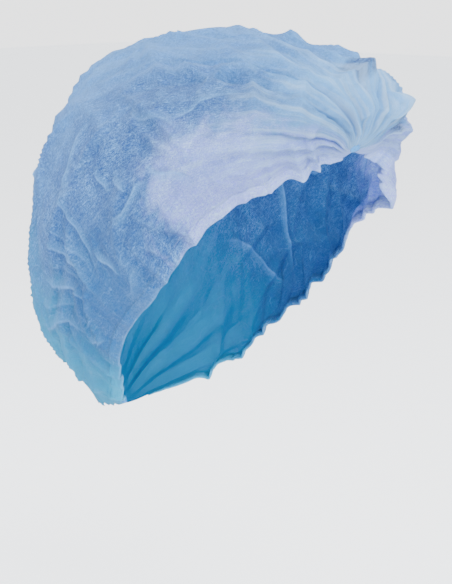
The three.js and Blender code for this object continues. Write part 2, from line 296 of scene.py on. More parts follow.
def pleats(at, across, length):
    """The long pleats: a power of a rounded zigzag across the cloth, with crests that lean and sway. Their
    size is what the spare cloth gives, times a share that falls to nothing at the welds and the hems. Returns
    the height, the zigzag from 0 in the valleys to 1 on the crests, and that share."""
    near_end = np.minimum(at, 1 - at)
    spare = np.sqrt(np.maximum(CLOTH_WIDTH**2 - length**2, 0)) / (4 * len(PLEAT_ROWS))
    closing = smooth(near_end / PLEAT_CLOSED_NEAR)
    fading = PLEAT_IN_MIDDLE + (1 - PLEAT_IN_MIDDLE) * np.exp(-near_end / PLEAT_FADE)
    share = closing * fading * (1 - near_hem(across, length, PLEAT_FLAT_NEAR))
    amplitude = np.minimum(PLEAT_OPENING * spare, STEEPEST_PLEAT * length) * share
    edges = np.hstack([0, np.cumsum(PLEAT_ROWS[:, 2])])
    sway = EDGE_SWAY * np.sin(np.pi * across) * np.sin(SWAY_WAVES * at + EDGE_TURN * across)
    place = np.interp(across + sway * closing, 2 * edges / edges[-1] - 1, np.arange(len(edges)))
    number = np.clip(np.floor(place).astype(int), 0, len(PLEAT_ROWS) - 1)
    phase = place - number
    crest = 0.5 + PLEAT_ROWS[number, 1] + CREST_SWAY * np.sin(SWAY_WAVES * at + CREST_TURN * number)
    zigzag = np.where(phase < crest, phase / crest, (1 - phase) / (1 - crest))
    sharpest = np.hypot(1, CREST_ROUND)
    zigzag = (sharpest - np.hypot(1 - zigzag, CREST_ROUND)) / (sharpest - CREST_ROUND)
    swelling = DEPTH_MEAN + DEPTH_CHANGE * np.sin(DEPTH_WAVES * at + DEPTH_TURN * number)
    depth = PLEAT_ROWS[number, 0] * swelling
    return amplitude * depth * (2 * zigzag**CREST_POWER - PLEAT_SINK), zigzag, share


# The fan at each weld. Columns: share, folds across the cloth, sway, sway's waves, shift.
FAN_ROWS = (
    (1.0, 11.3, 3.0, 5.0, 0.0),
    (0.7, 18.7, 2.0, 9.0, 1.7),
)
FAN_HEIGHT = 0.0006
FAN_END = 0.10
FAN_FULL_LENGTH = 0.2


def fan(at, across, length):
    """Fine folds that run out from each weld: a sum of sine waves across the cloth, which sway along it."""
    near_end = np.minimum(at, 1 - at)
    wave = sum(
        share * np.sin(2 * np.pi * folds * across + sway * np.sin(waves * at) + shift)
        for share, folds, sway, waves, shift in FAN_ROWS
    )
    reach = smooth(near_end / PLEAT_CLOSED_NEAR) * np.exp(-near_end / FAN_END)
    reach = reach * np.minimum(1, length / FAN_FULL_LENGTH)
    return FAN_HEIGHT * wave * reach * (1 - near_hem(across, length, PLEAT_FLAT_NEAR))


# The hem's ripples. Columns: share, folds along the hem, sway, sway's waves, sway's shift, shift of a side.
RIPPLE_ROWS = (
    (1.0, 17, 2.6, 11, 0, 1),
    (0.7, 26, 3.1, 7, 1, 2),
)
RIPPLE_HEIGHT = 0.0006
RIPPLE_UP = 0.016
RIPPLE_START = 0.06
SWELL_SHARE = 0.4
SWELL_WAVES = 31
SWELL_SHIFT = 2
GATHER_HEIGHT = 0.0012
GATHER_FOLDS = 11
GATHER_UP = 0.018


def hem_folds(at, across, length):
    """What the elastic does to the cloth beside it: one even sine wave of gathers, and small ripples, which
    are a sum of swaying sine waves that swell and fade along the hem."""
    side = np.sign(across)
    near_end = np.minimum(at, 1 - at)
    gather = GATHER_HEIGHT * np.sin(2 * np.pi * GATHER_FOLDS * at) * near_hem(across, length, GATHER_UP)
    gather = gather * smooth(near_end / PLEAT_CLOSED_NEAR)
    ripple = sum(
        share * np.sin(2 * np.pi * folds * at + sway * np.sin(waves * at + shift) + side_shift * side)
        for share, folds, sway, waves, shift, side_shift in RIPPLE_ROWS
    )
    swell = 1 - SWELL_SHARE + SWELL_SHARE * np.sin(SWELL_WAVES * at + SWELL_SHIFT * side)
    ripple = RIPPLE_HEIGHT * ripple * swell * near_hem(across, length, RIPPLE_UP)
    return gather + ripple * smooth(near_end / RIPPLE_START)


def ruffles(at, across):
    """The ruffles of RUFFLE_ROWS: each is a tent with straight slopes both ways from its peak."""
    tent = np.zeros_like(at)
    for row_across, row_along, spread_across, spread_along, reach in RUFFLE_ROWS:
        tent += reach * (
            np.maximum(0, 1 - np.abs(across - row_across) / spread_across)
            * np.maximum(0, 1 - np.abs(at - row_along) / spread_along)
        )
    return RUFFLE_REACH * tent


# The crumples: how the cloth is stretched across and along for them, and their heights in metres. Their
# mean is taken off, and they start at this share of the length from a weld.
COARSE_STRETCH = (1.3, 0.8)
COARSE_CRUMPLES = {"seed": 4, "wavelength": 0.085, "count": 6, "sharpness": 4}
COARSE_HEIGHT = 0.0054
FINE_STRETCH = (1.1, 1.0)
FINE_CRUMPLES = {"seed": 11, "wavelength": 0.040, "count": 5, "sharpness": 2}
FINE_HEIGHT = 0.0019
CRUMPLE_MEAN = 0.0028
CRUMPLE_START = 0.08

# How much a pleat's crest and a coarse crumple count as a soft crease, which the material paints.
SOFT_CREST = 0.25
SOFT_CREST_POWER = 12
SOFT_CRUMPLE = 0.35


def fold_height(at, across, length):
    """How far the cloth stands off the plain form: the sum of the pleats, the fans, the hem's folds, the
    ruffles, the crumples and the sharp creases. Returns it with how much the cloth is a soft crease, from 0
    to 1, and with the strength of the sharp crease and the distance from it."""
    pleat, zigzag, pleat_share = pleats(at, across, length)
    x, y = across * length / 2, at * CLOTH_LENGTH
    coarse = creases(x * COARSE_STRETCH[0], y * COARSE_STRETCH[1], **COARSE_CRUMPLES)
    fine = creases(x * FINE_STRETCH[0], y * FINE_STRETCH[1], **FINE_CRUMPLES)
    ridge, strength, aside = sharp_creases(at, across)
    loose = smooth(np.minimum(at, 1 - at) / CRUMPLE_START)
    crumple = (COARSE_HEIGHT * coarse + FINE_HEIGHT * fine - CRUMPLE_MEAN) * loose
    height = pleat + fan(at, across, length) + hem_folds(at, across, length) + ruffles(at, across)
    height = height + crumple + CREASE_HEIGHT * ridge
    soft = SOFT_CREST * zigzag**SOFT_CREST_POWER * pleat_share + SOFT_CRUMPLE * coarse**2 * loose
    return height, {
        "soft_crease": np.clip(soft, 0, 1),
        "sharp_crease": strength,
        "crease_aside": aside,
    }


def hem_scale(at):
    """How much of its full height the hem has: it grows from nothing at each weld."""
    return smooth(np.minimum(at, 1 - at) / HEM_GROWN)


def crown_start(at):
    """The length above the hem line at which the crown's cloth begins: it closes down near the welds."""
    return (HEM_HEIGHT + SEAM_GAP) * hem_scale(at)


def cloth_surface(at, across):
    """The plain form at every place (at, across), its outward direction and each section's whole length."""
    start = crown_start(at)[:, None]
    _, lengths = half_sections(at)
    half = lengths[:, -1:]
    share = 1 - np.abs(across)[None, :]
    points, _ = on_sections(at, start + (half - start) * share)
    points[..., 0] *= np.where(across < 0, -1, 1)
    along_at = np.gradient(points, axis=0)
    along_across = np.gradient(points, axis=1)
    outward = np.cross(along_across, along_at)
    outward /= np.linalg.norm(outward, axis=-1, keepdims=True)
    return points, outward, 2 * half


def grid_faces(rows, columns, closed=False):
    """The four corners of every face of a grid of rows by columns points, wound so that it faces outwards.
    A closed grid joins its last column to its first."""
    number = np.arange(rows * columns).reshape(rows, columns)
    if closed:
        number = np.hstack([number, number[:, :1]])
    return np.stack(
        [number[:-1, :-1], number[:-1, 1:], number[1:, 1:], number[1:, :-1]], axis=-1
    ).reshape(-1, 4)


def add_piece(name, points, faces, uv=None):
    """A smooth mesh object from arrays of points and faces, with a UV place for each point."""
    mesh = bpy.data.meshes.new(name)
    mesh.from_pydata(points.reshape(-1, 3), [], faces)
    mesh.polygons.foreach_set("use_smooth", np.ones(len(mesh.polygons), dtype=bool))
    if uv is not None:
        corners = np.empty(len(mesh.loops), dtype=np.int32)
        mesh.loops.foreach_get("vertex_index", corners)
        layer = mesh.uv_layers.new(name="cloth")
        layer.data.foreach_set("uv", uv.reshape(-1, 2)[corners].astype(np.float32).ravel())
    piece = bpy.data.objects.new(name, mesh)
    bpy.context.scene.collection.objects.link(piece)
    return piece


def add_number(piece, name, values):
    """A number for each point of the piece, which its material reads."""
    layer = piece.data.attributes.new(name, "FLOAT", "POINT")
    layer.data.foreach_set("value", values.astype(np.float32).ravel())


def add_wall(piece, thick, offset=-1):
    """Gives a sheet its thickness: an offset of -1 grows it inwards."""
    wall = piece.modifiers.new("wall", "SOLIDIFY")
    wall.thickness = thick
    wall.offset = offset


CROWN_ROWS = 220
COLUMNS_PER_PLEAT = 18
CROWN_COLUMNS = COLUMNS_PER_PLEAT * len(PLEAT_ROWS)
crown_at = np.linspace(0, 1, CROWN_ROWS + 1)
crown_across = np.linspace(-1, 1, CROWN_COLUMNS + 1)
plain, outward, length = cloth_surface(crown_at, crown_across)
at_grid, across_grid = np.broadcast_arrays(crown_at[:, None], crown_across[None, :])
height, crown_numbers = fold_height(at_grid, across_grid, length)
crown_points = plain + outward * height[..., None]

# The pleats' ends stand out past the welds: a short rim in front, and a jagged frill at the nape. Teeth and
# nicks are waves across the cloth.
FRILL_START = 0.975
FRILL_REACH = 0.0045
FRILL_TEETH = 1.4
FRILL_SHIFT = 0.8
FRILL_NICKS = 31
FRONT_RIM_END = 0.03
FRONT_RIM_REACH = 0.0028
RIM_NICKS = 23
NICK_DEPTH = 0.25
lengthwise = np.gradient(crown_points, axis=0)
lengthwise /= np.linalg.norm(lengthwise, axis=-1, keepdims=True)
teeth = (1 + np.abs(np.sin(2 * np.pi * FRILL_TEETH * across_grid + FRILL_SHIFT))) / 2
frill = FRILL_REACH * (teeth - NICK_DEPTH * np.cos(FRILL_NICKS * across_grid))
frill = frill * smooth((at_grid - FRILL_START) / (1 - FRILL_START))
rim = FRONT_RIM_REACH * smooth(1 - at_grid / FRONT_RIM_END)
rim = rim * (1 - NICK_DEPTH * np.cos(RIM_NICKS * across_grid))
crown_points = crown_points + lengthwise * (frill - rim)[..., None]
crown_uv = np.stack([(across_grid + 1) / 2 * CLOTH_WIDTH, at_grid * CLOTH_LENGTH], axis=-1)
crown = add_piece("crown_cloth", crown_points, grid_faces(*at_grid.shape), crown_uv)
for name, values in crown_numbers.items():
    add_number(crown, name, values)
add_wall(crown, CLOTH_THICK)


class Signal:
    """An output socket. Arithmetic on it, with a number or another signal, adds Math nodes."""

    def __init__(self, finish, socket):
        self.finish = finish
        self.socket = socket

    def math(self, operation, first, second=0.0):
        return self.finish.node("ShaderNodeMath", {"operation": operation}, {0: first, 1: second})

    def __add__(self, other):
        return self.math("ADD", self, other)

    def __radd__(self, other):
        return self.math("ADD", other, self)

    def __sub__(self, other):
        return self.math("SUBTRACT", self, other)

    def __rsub__(self, other):
        return self.math("SUBTRACT", other, self)

    def __mul__(self, other):
        return self.math("MULTIPLY", self, other)

    def __rmul__(self, other):
        return self.math("MULTIPLY", other, self)

    def __truediv__(self, other):
        return self.math("DIVIDE", self, other)

    def __pow__(self, other):
        return self.math("POWER", self, other)

    def __abs__(self):
        return self.math("ABSOLUTE", self)


class Finish:
    """A node material."""

    def __init__(self, name):
        self.material = bpy.data.materials.new(name)
        self.material.use_nodes = True
        self.tree = self.material.node_tree
        self.tree.nodes.clear()

    def node(self, kind, settings=None, sockets=None, output=0):
        """Adds a node: its settings first, then the values or links of its sockets. Returns one output."""
        made = self.tree.nodes.new(kind)
        for name, value in (settings or {}).items():
            setattr(made, name, value)
        for key, value in (sockets or {}).items():
            if isinstance(value, Signal):
                self.tree.links.new(value.socket, made.inputs[key])
            else:
                made.inputs[key].default_value = value
        return Signal(self, made.outputs[output])

    def ramp(self, value, low, high):
        """0 below low, 1 above high and an S-shaped curve between."""
        sockets = {"Value": value, "From Min": low, "From Max": high}
        return self.node("ShaderNodeMapRange", {"interpolation_type": "SMOOTHSTEP"}, sockets)

    def mix(self, share, first, second, blend="MIX"):
        """The first colour, with share of the second one."""
        settings = {"data_type": "RGBA", "blend_type": blend}
        return self.node("ShaderNodeMix", settings, {0: share, 6: first, 7: second}, output=2)

    def noise(self, place, scale, detail=3.0, roughness=0.55, distortion=0.0, output=0):
        """Soft random values around a half at a place. Output 1 gives a random place instead."""
        sockets = {
            "Vector": place,
            "Scale": scale,
            "Detail": detail,
            "Roughness": roughness,
            "Distortion": distortion,
        }
        return self.node("ShaderNodeTexNoise", {}, sockets, output)

    def axis(self, place, number):
        """One coordinate of a place: 0 for X and 1 for Y."""
        return self.node("ShaderNodeSeparateXYZ", {}, {0: place}, output=number)

    def stretched(self, place, turn, scale):
        """The place turned about Z by degrees and scaled along X and Y."""
        sockets = {"Vector": place, "Rotation": (0, 0, math.radians(turn)), "Scale": (*scale, 1)}
        return self.node("ShaderNodeMapping", {"vector_type": "POINT"}, sockets)

    def surface(self, shader):
        """Makes the shader the material's surface."""
        end = self.tree.nodes.new("ShaderNodeOutputMaterial")
        self.tree.links.new(shader.socket, end.inputs["Surface"])


def colour(red, green, blue):
    """A colour given as on a screen, from 0 to 255, as linear light."""
    share = np.array([red, green, blue]) / 255
    linear = np.where(share <= 0.04045, share / 12.92, ((share + 0.055) / 1.055) ** 2.4)
    return (*(float(value) for value in linear), 1.0)


SKY = colour(118, 198, 255)
BLUE = colour(52, 122, 206)
DEEP_BLUE = colour(8, 62, 138)
LAVENDER = colour(152, 164, 255)
VIOLET = colour(150, 146, 246)
TEAL = colour(0, 92, 156)
CYAN = colour(0, 164, 206)
FIBRE_WHITE = colour(190, 226, 255)
FIBRE_BLUE = colour(122, 188, 244)

# Noises of the cloth: scale per metre, detail, roughness and distortion, then the ramp's low and high.
CLOUD = (48, 4, 0.62, 0.9, 0.38, 0.62)
CLUMP = (230, 4, 0.72, 0.8, 0.38, 0.62)
SPECK = (760, 2, 0.70, 0.4, 0.46, 0.62)
GRAIN = (560, 2, 0.60, 0.3, 0.40, 0.56)
EDGE = {"scale": 42, "detail": 4, "roughness": 0.62, "distortion": 0.7}
DRIFT = {"scale": 30, "detail": 3, "roughness": 0.6}
STRAND = {"scale": 1.0, "detail": 1.0, "roughness": 0.5, "distortion": 1.4}
STREAK = {"scale": 1.0, "detail": 4.0, "roughness": 0.6, "distortion": 0.3}

# Layers of fibres. Columns: their turn in degrees, and their scales beside and along a fibre.
FIBRE_ROWS = (
    (14, (520, 80)),
    (-38, (470, 72)),
    (71, (500, 76)),
    (112, (450, 68)),
    (152, (490, 74)),
)
FIBRE_HALF_WIDTH = 0.024
FIBRES_ONE = 0.1
FIBRES_MANY = 1.2
STREAK_SCALES = (120, 9)
STREAK_RAMP = (0.44, 0.64)
WRINKLE_DRIFT = (0.05, 0.05, 0.0)
WRINKLE_CELLS = 34
WRINKLE_HALF_WIDTH = 0.030
BOND_TURN = 45
BOND_CELLS = 620
BOND_CHANCE = 0.15
BOND_RAMP = (0.16, 0.28)

# Zones of the cloth: how ragged the border is, and where the zone begins and is full. "aside" runs from 0
# at the middle pleat to 1 at the hems, and "along" from 0 at the front weld to 1 at the nape.
# The "upper" zone carries painted light, and the "side" and "lower" zones carry painted shade.
ZONE_ROWS = {
    "upper": ("aside", 0.50, 0.60, 0.26),
    "front": ("along", 0.25, 0.36, 0.12),
    "back": ("along", 0.00, 0.35, 0.75),
    "brow_across": ("aside", 0.45, 0.56, 0.76),
    "brow_along": ("along", 0.26, 0.47, 0.36),
    "side_front": ("along", 0.00, 0.22, 0.34),
    "side_back": ("along", 0.00, 0.92, 0.76),
    "lower_across": ("aside", 0.20, 0.62, 0.84),
    "lower_along": ("along", 0.00, 0.44, 0.58),
    "nape": ("along", 0.16, 0.70, 0.94),
    "violet_across": ("aside", 0.20, 0.80, 0.96),
    "violet_along": ("along", 0.00, 0.08, 0.16),
}

# Painted shade where the cloth lies single over the shaded inside. Columns: across, along, spread across,
# spread along, strength.
INSIDE_SHADE_ROWS = (
    (-0.50, 0.34, 0.07, 0.13, 0.55),
    (-0.62, 0.45, 0.11, 0.09, 0.50),
    (-0.80, 0.52, 0.12, 0.08, 0.50),
    (-0.43, 0.45, 0.05, 0.10, 0.50),
    (0.02, 0.190, 0.11, 0.030, 1.00),
    (0.62, 0.095, 0.10, 0.030, 0.95),
    (0.55, 0.48, 0.12, 0.10, 0.50),
)
INSIDE_SHADE_RAGGED = 2.0
INSIDE_SHADE_RAMP = (1.5, 0.2)

# The crease lines in half widths of a crease: the thin line, its lit lap on one side and its shade.
LINE_RAMP = (0.40, 0.0)
LAP_RAMPS = ((0.0, 0.15), (2.0, 0.2))
SHADE_RAMPS = ((0.0, -0.15), (-1.4, -0.1))

# Shares of the tone's layers: even, or the part that a noise or a zone adds.
GROUND_CLOUD, GROUND_CLUMP, GROUND_SPECK = 0.22, 0.30, 0.48
UPPER_LIGHT, PALE_BACK = 0.26, 0.10
SIDE_SHADE, SIDE_SHADE_GRAIN = 0.26, 0.52
UPPER_LIGHT_SKY, UPPER_FRONT_LIGHT, FRONT_SKY = 0.14, 0.82, 0.6
BROW_LAVENDER, BROW_CLOUD, BROW_SPECK = 0.66, 0.16, 0.12
BROW_VIOLET = 0.5
LOWER_SHADE = 0.96
NAPE_CYAN = 0.95
FRONT_EVEN, NAPE_EVEN, LOWER_EVEN = 0.8, 0.7, 0.55
GRAIN_BLUE, GRAIN_BROW, GRAIN_DEEP = 0.20, 0.14, 0.16
INSIDE_SHADE_DEEP = 0.55
STREAK_PALE, STREAK_FRONT = 0.10, 0.50
MOTTLE, MOTTLE_SIDE, MOTTLE_BROW = 0.30, 0.52, 0.60
MOTTLE_FIBRE, MOTTLE_SPECK, MOTTLE_EVEN = 0.85, 0.45, 0.55
WRINKLE_PALE, WRINKLE_SIDE = 0.16, 0.22
LAP_SKY, SHADE_DEEP, SOFT_PALE, CREASE_EVEN = 0.30, 0.35, 0.5, 0.5

# The relief's shares of the noises, its depth, and the surface's other values.
RELIEF_CLUMP, RELIEF_CLOUD, RELIEF_FIBRE = 0.5, 0.4, 0.8
RELIEF_SPECK, RELIEF_BOND, RELIEF_WRINKLE = 0.4, 0.2, 0.8
RELIEF_STRENGTH = 0.7
RELIEF_DEPTH = 0.0008
CLOTH_ROUGH, CLUMP_ROUGH = 0.62, 0.2
CLOTH_SPECULAR = 0.3
CLOTH_SHEEN, SHEEN_ROUGH = 0.08, 0.5
PASSED_WHITE = 0.22


def zones(finish, place):
    """The shares of the zones at a place, and the patches of painted shade where the cloth lies single: each
    zone is a ramp of one coordinate with a ragged border, and each patch is a ragged ellipse."""
    across = finish.axis(place, 0) * (2 / CLOTH_WIDTH) - 1
    along = finish.axis(place, 1) * (1 / CLOTH_LENGTH)
    ragged = finish.noise(place, **EDGE) - 0.5
    coordinate = {"aside": abs(across), "along": along}
    zone = {
        name: finish.ramp(coordinate[axis] + ragged * border, low, high)
        for name, (axis, border, low, high) in ZONE_ROWS.items()
    }
    zone["brow"] = zone["brow_across"] * zone["brow_along"]
    zone["side"] = (1 - zone["upper"]) * zone["side_front"] * zone["side_back"] * (1 - zone["brow"])
    zone["lower"] = zone["lower_across"] * zone["lower_along"]
    zone["violet"] = zone["violet_across"] * zone["brow"] * zone["violet_along"]
    patches = []
    for row_across, row_along, spread_across, spread_along, strength in INSIDE_SHADE_ROWS:
        squares = ((across - row_across) / spread_across) ** 2 + ((along - row_along) / spread_along) ** 2
        patches.append(finish.ramp(squares + ragged * INSIDE_SHADE_RAGGED, *INSIDE_SHADE_RAMP) * strength)
    zone["dark"] = sum(patches)
    return zone


def crease_tone(finish, tone, clump, crease_share):
    """The tone with the creases painted on: a lit lap on one side of each line, a shade on the other, and a
    thin pale line, which also marks the soft creases."""
    soft, strength, line = (
        finish.node("ShaderNodeAttribute", {"attribute_name": attribute}, output=2)
        for attribute in ("soft_crease", "sharp_crease", "crease_aside")
    )
    thin_line = finish.ramp(abs(line), *LINE_RAMP) * strength
    lap = finish.ramp(line, *LAP_RAMPS[0]) * finish.ramp(line, *LAP_RAMPS[1]) * strength
    shade = finish.ramp(line, *SHADE_RAMPS[0]) * finish.ramp(line, *SHADE_RAMPS[1]) * strength
    tone = finish.mix(lap * LAP_SKY, tone, SKY)
    tone = finish.mix(shade * SHADE_DEEP, tone, DEEP_BLUE)
    pale = (soft * SOFT_PALE + thin_line) * crease_share * (1 - CREASE_EVEN + CREASE_EVEN * clump)
    return finish.mix(pale, tone, FIBRE_BLUE)


def spunbond(name, crease_share, density):
    """Spunbond cloth: random fibres that lie in clouds, pressed together at a grid of small bond points. It
    is paler at the brow and greener at the nape, has painted light on the upper crown and painted shade on
    the sides, low near the hems and where it lies single over the inside, and lets some of the light through."""
    finish = Finish(name)
    place = finish.node("ShaderNodeUVMap", {"uv_map": "cloth"})
    cloud, clump, speck, grain = (
        finish.ramp(finish.noise(place, *row[:4]), *row[4:]) for row in (CLOUD, CLUMP, SPECK, GRAIN)
    )
    strands = (finish.noise(finish.stretched(place, turn, scales), **STRAND) for turn, scales in FIBRE_ROWS)
    fibres = sum(finish.ramp(abs(strand - 0.5), FIBRE_HALF_WIDTH, 0.0) for strand in strands)
    fibres = finish.ramp(fibres, FIBRES_ONE, FIBRES_MANY)
    drift = finish.noise(place, **DRIFT, output=1)
    drifted = finish.node(
        "ShaderNodeVectorMath", {"operation": "MULTIPLY_ADD"}, {0: drift, 1: WRINKLE_DRIFT, 2: place}
    )
    cells = finish.node(
        "ShaderNodeTexVoronoi",
        {"voronoi_dimensions": "2D", "feature": "DISTANCE_TO_EDGE"},
        {"Vector": drifted, "Scale": WRINKLE_CELLS, "Randomness": 1.0},
    )
    wrinkle = finish.ramp(cells, WRINKLE_HALF_WIDTH, 0.0) * clump
    streaks = finish.noise(finish.stretched(place, 0, STREAK_SCALES), **STREAK)
    streaks = finish.ramp(streaks, *STREAK_RAMP)

    zone = zones(finish, place)
    upper, front, brow, side = zone["upper"], zone["front"], zone["brow"], zone["side"]
    lower, nape = zone["lower"], zone["nape"]
    gaps = 1 - grain
    ground = cloud * GROUND_CLOUD + clump * GROUND_CLUMP + speck * GROUND_SPECK
    tone = finish.mix(ground, DEEP_BLUE, BLUE)
    # Painted light on the upper crown, and paler towards the back.
    tone = finish.mix(UPPER_LIGHT * upper + PALE_BACK * zone["back"], tone, SKY)
    # Painted shade down the sides, where the cloth stands off with only shade behind it, deeper in the
    # grain's gaps.
    tone = finish.mix(side * (SIDE_SHADE + SIDE_SHADE_GRAIN * gaps), tone, DEEP_BLUE)
    # More painted light on the upper crown, most towards the front, and paler towards the front weld below
    # it.
    pale = upper * (UPPER_LIGHT_SKY + UPPER_FRONT_LIGHT * front) + front * (1 - upper) * FRONT_SKY
    tone = finish.mix(pale, tone, SKY)
    tone = finish.mix(brow * (BROW_LAVENDER + BROW_CLOUD * cloud + BROW_SPECK * speck), tone, LAVENDER)
    tone = finish.mix(zone["violet"] * BROW_VIOLET, tone, VIOLET)
    # Painted shade low on the sides near the hems, in teal.
    tone = finish.mix(lower * LOWER_SHADE, tone, TEAL)
    tone = finish.mix(nape * NAPE_CYAN, tone, CYAN)
    rough = (1 - FRONT_EVEN * front) * (1 - NAPE_EVEN * nape)
    tone = finish.mix(gaps * rough * (GRAIN_BLUE + GRAIN_BROW * brow), tone, BLUE)
    tone = finish.mix(gaps * rough * (1 - brow) * GRAIN_DEEP, tone, DEEP_BLUE)
    # Painted shade where the cloth lies single over the shaded inside, deepest where the clumps are thin.
    tone = finish.mix(zone["dark"] * (INSIDE_SHADE_DEEP + (1 - INSIDE_SHADE_DEEP) * (1 - clump)), tone, DEEP_BLUE)
    streaks = streaks * (STREAK_PALE + STREAK_FRONT * front) * (1 - side) * (1 - nape)
    tone = finish.mix(streaks, tone, FIBRE_WHITE)
    mottle = MOTTLE + MOTTLE_SIDE * side + MOTTLE_BROW * brow
    mottle = mottle * (1 - LOWER_EVEN * lower) * (1 - NAPE_EVEN * nape)
    mottle = mottle * (MOTTLE_EVEN + (1 - MOTTLE_EVEN) * cloud)
    fibre_tone = finish.mix(brow + front, FIBRE_BLUE, FIBRE_WHITE)
    tone = finish.mix((fibres * MOTTLE_FIBRE + speck * MOTTLE_SPECK) * mottle, tone, fibre_tone)
    tone = finish.mix(wrinkle * (WRINKLE_PALE + WRINKLE_SIDE * side), tone, fibre_tone)
    tone = crease_tone(finish, tone, clump, crease_share)

    dots = finish.node(
        "ShaderNodeTexVoronoi",
        {"voronoi_dimensions": "2D"},
        {
            "Vector": finish.stretched(place, BOND_TURN, (1, 1)),
            "Scale": BOND_CELLS,
            "Randomness": BOND_CHANCE,
        },
    )
    bond = finish.ramp(dots, *BOND_RAMP)
    relief = clump * RELIEF_CLUMP + cloud * RELIEF_CLOUD + fibres * RELIEF_FIBRE
    relief = relief + speck * RELIEF_SPECK + bond * RELIEF_BOND + wrinkle * RELIEF_WRINKLE
    sockets = {"Strength": RELIEF_STRENGTH, "Distance": RELIEF_DEPTH, "Height": relief}
    normal = finish.node("ShaderNodeBump", {}, sockets)
    body = finish.node(
        "ShaderNodeBsdfPrincipled",
        {},
        {
            "Base Color": tone,
            "Roughness": CLOTH_ROUGH + CLUMP_ROUGH * clump,
            "Normal": normal,
            "Specular IOR Level": CLOTH_SPECULAR,
            "Sheen Weight": CLOTH_SHEEN,
            "Sheen Roughness": SHEEN_ROUGH,
        },
    )
    passed = finish.mix(PASSED_WHITE, tone, FIBRE_WHITE)
    glow = finish.node("ShaderNodeBsdfTranslucent", {}, {"Color": passed, "Normal": normal})
    finish.surface(finish.node("ShaderNodeMixShader", {}, {0: density, 1: glow, 2: body}))
    return finish.material


CROWN_CREASES = 0.8
CROWN_DENSITY = 0.58
crown.data.materials.append(spunbond("crown_spunbond", CROWN_CREASES, CROWN_DENSITY))
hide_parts("crown")
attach(crown, "root")

# The hems: on each side the cloth is turned in over the elastic and pressed shut, which leaves a soft tube
# some seven millimetres high. The elastic draws it up into small ripples.
HEM_ROWS = 2 * CROWN_ROWS

# The hem's outline in millimetres: up from the hem line, and inwards from the crown's cloth.
HEM_OUTLINE = np.array([
    [0.00, 8.8, 0.44],
    [0.07, 7.6, 0.38],
    [0.15, 6.6, 0.13],
    [0.36, 2.4, 0.05],
    [0.46, 0.6, 0.12],
    [0.52, 0.0, 0.80],
    [0.58, 0.5, 1.60],
    [0.66, 2.0, 1.95],
    [0.84, 4.8, 1.70],
    [0.92, 6.0, 1.20],
    [1.00, 7.2, 0.80],
])
HEM_STEPS = 36
HEM_FOLD_AT = 0.5
HEM_FOLD_SPREAD = 0.05
HEM_CREASES = 0.5
HEM_DENSITY = 0.72
BESIDE_HEM = 0.98
MILLIMETRES = 1000


def hem_line(side):
    """The hem line on one side with its directions up the cloth and out of it, for every row of the hem."""
    at = np.linspace(HEM_START, 1 - HEM_START, HEM_ROWS + 1)
    across = np.array([BESIDE_HEM, 1.0]) * side
    across.sort()
    edge = 0 if side < 0 else 1
    points, lengths = half_sections(at)
    whole = 2 * lengths[:, -1:]
    reach = np.tile([0.0, HEM_HEIGHT], (len(at), 1))
    pair, _ = on_sections(at, reach)
    pair[..., 0] *= side
    foot = pair[:, 0]
    up = pair[:, 1] - foot
    up /= np.linalg.norm(up, axis=-1, keepdims=True)
    _, outward, _ = cloth_surface(at, across)
    outward = outward[:, edge]
    height, _ = fold_height(at[:, None], np.full((len(at), 1), float(side)), whole)
    foot = foot + outward * height
    outward = outward - up * np.sum(outward * up, axis=-1, keepdims=True)
    outward /= np.linalg.norm(outward, axis=-1, keepdims=True)
    scale = hem_scale(at)[:, None]
    return foot, up * scale, outward * scale


def carried(line, outline):
    """The outline, in metres up the cloth and inwards, carried along a hem line."""
    foot, up, outward = (part[:, None] for part in line)
    return foot + up * outline[:, :1] - outward * outline[:, 1:]


hem_cloth = spunbond("hem_spunbond", HEM_CREASES, HEM_DENSITY)
for side, name in ((-1, "hem_right"), (1, "hem_left")):
    outline = along_rows(HEM_OUTLINE, np.linspace(0, 1, HEM_STEPS)) / MILLIMETRES
    line = hem_line(side)
    points = carried(line, outline)
    along = np.linspace(HEM_START, 1 - HEM_START, len(points)) * CLOTH_LENGTH
    rise = np.hstack([0, np.cumsum(np.linalg.norm(np.diff(outline, axis=0), axis=-1))])
    inwards = HEM_HEIGHT - rise
    across = inwards if side < 0 else CLOTH_WIDTH - inwards
    uv = np.stack(np.broadcast_arrays(across[None, :], along[:, None]), axis=-1)
    faces = grid_faces(*points.shape[:2])
    piece = add_piece(name + "_fold", points, faces if side > 0 else faces[:, ::-1], uv)
    folded_edge = np.exp(-((rise / rise[-1] - HEM_FOLD_AT) / HEM_FOLD_SPREAD) ** 2)
    add_number(piece, "soft_crease", np.tile(folded_edge, (len(points), 1)))
    add_wall(piece, CLOTH_THICK, 0)
    piece.data.materials.append(hem_cloth)
    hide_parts(name)
    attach(piece, "root")

# The elastics: a flat white band lies in each hem. It is knitted from thin rubber threads, which show as
# fine ribs along it. Its sizes and its place in the hem are in millimetres.
ELASTIC_WIDE = 4.0
ELASTIC_THICK = 0.7
ELASTIC_UP = 2.7
ELASTIC_IN = 0.75
ELASTIC_STEPS = 20
ELASTIC_ROUND = 0.4
ELASTIC_WHITE = colour(232, 238, 244)
RIBS_PER_METRE = 260
RIB_TONE = 0.3
BAND_ROUGH, RIB_ROUGH = 0.55, 0.2


def rounded(wave, power):
    """A power of a sine or cosine that keeps its sign: below 1 it swells a circle towards a square."""
    return np.sign(wave) * np.abs(wave) ** power


